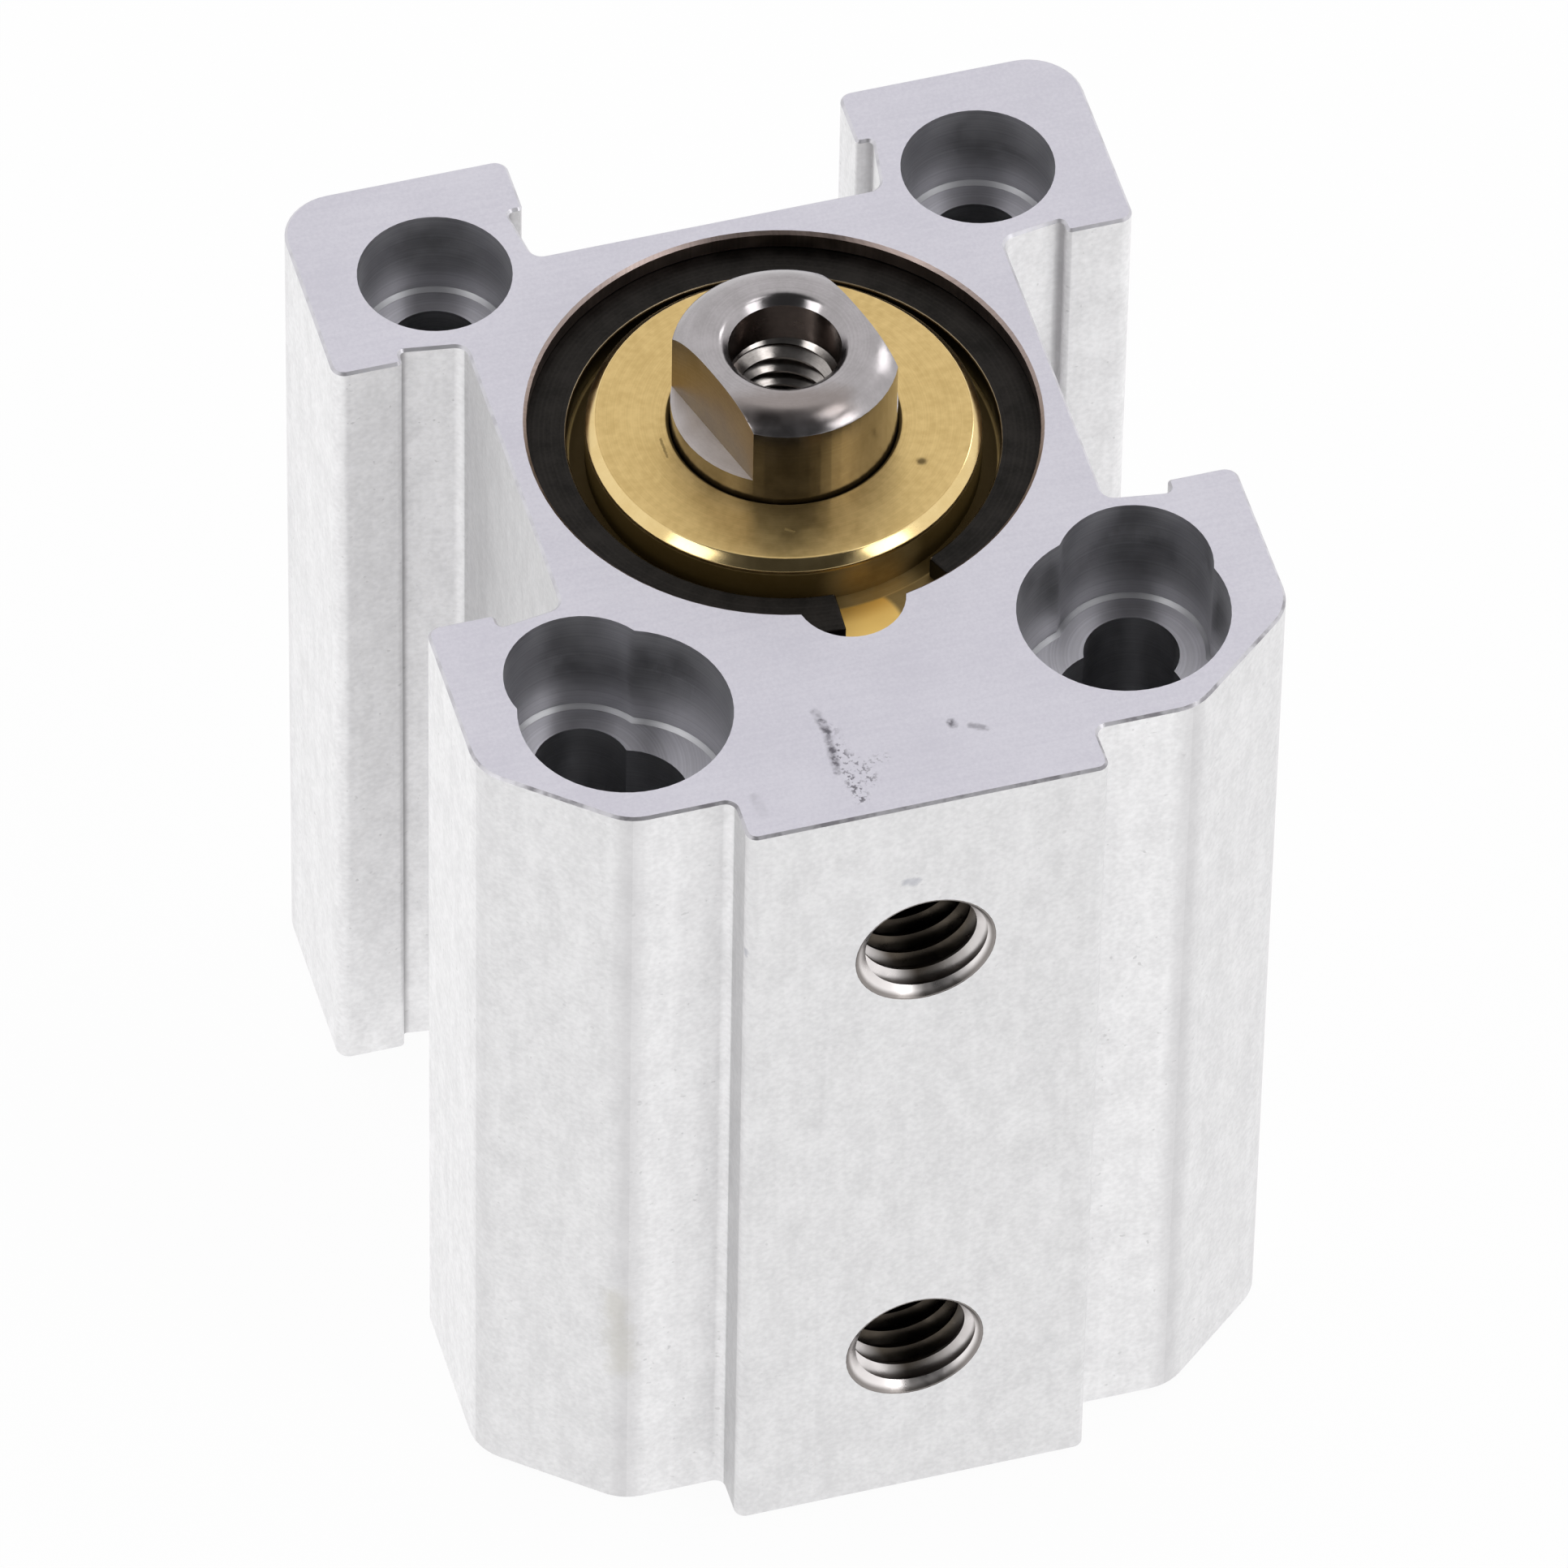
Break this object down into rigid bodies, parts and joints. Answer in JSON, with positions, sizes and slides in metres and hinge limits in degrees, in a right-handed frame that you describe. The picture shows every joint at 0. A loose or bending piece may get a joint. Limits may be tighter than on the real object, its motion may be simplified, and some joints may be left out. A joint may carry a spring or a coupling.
{
  "type": "short-stroke pneumatic cylinder",
  "caption": "Compact double-acting air cylinder: grooved aluminium body with screw holes, threaded ports and a brass rod collar, driving a short rod with wrench flats and a threaded end.",
  "frame": {"origin": "on the rod axis, in the plane of the rear mounting face", "axes": "+Z along the rod axis towards the rod end, -Y out of the port face, X across the body"},
  "size_m": [0.0294, 0.0333, 0.0411],
  "materials": {
    "body_anodised": "satin anodised",
    "cover_brass": "turned",
    "seal_rubber": "matte",
    "bumper_rubber": "matte",
    "ring_black": "phosphated spring steel",
    "cover_aluminium": "turned",
    "rod_steel": "ground",
    "piston_aluminium": "turned",
    "magnet_bonded": "bonded ferrite",
    "fastener_steel": "zinc plated",
    "guide_plastic": "sliding plastic"
  },
  "bodies": {
    "barrel": {"cylinder_body": "body_anodised", "rod_cover": "cover_brass", "rod_cover_o_ring": "seal_rubber", "rod_seal": "seal_rubber", "rod_seal_retainer": "fastener_steel", "front_bumper": "bumper_rubber", "front_retaining_ring": "ring_black", "rear_cover": "cover_aluminium", "rear_cover_o_ring": "seal_rubber", "rear_bumper": "bumper_rubber", "rear_retaining_ring": "ring_black"},
    "piston_rings": {"piston_seal": "seal_rubber", "guide_ring": "guide_plastic"},
    "rod_unit": {"piston_rod": "rod_steel", "piston_front": "piston_aluminium", "piston_rear": "piston_aluminium", "magnet_ring": "magnet_bonded", "rod_o_ring": "seal_rubber", "piston_washer": "fastener_steel", "piston_nut": "fastener_steel"}
  },
  "joints": [
    {"name": "rod_stroke", "type": "slide", "parent": "barrel", "child": "piston_rings", "axis": [0, 0, 1], "range_m": [0, 0.01]},
    {"name": "rod_turn", "type": "hinge", "parent": "piston_rings", "child": "rod_unit", "pos_m": [0, 0, 0], "axis": [0, 0, 1], "continuous": true}
  ]
}
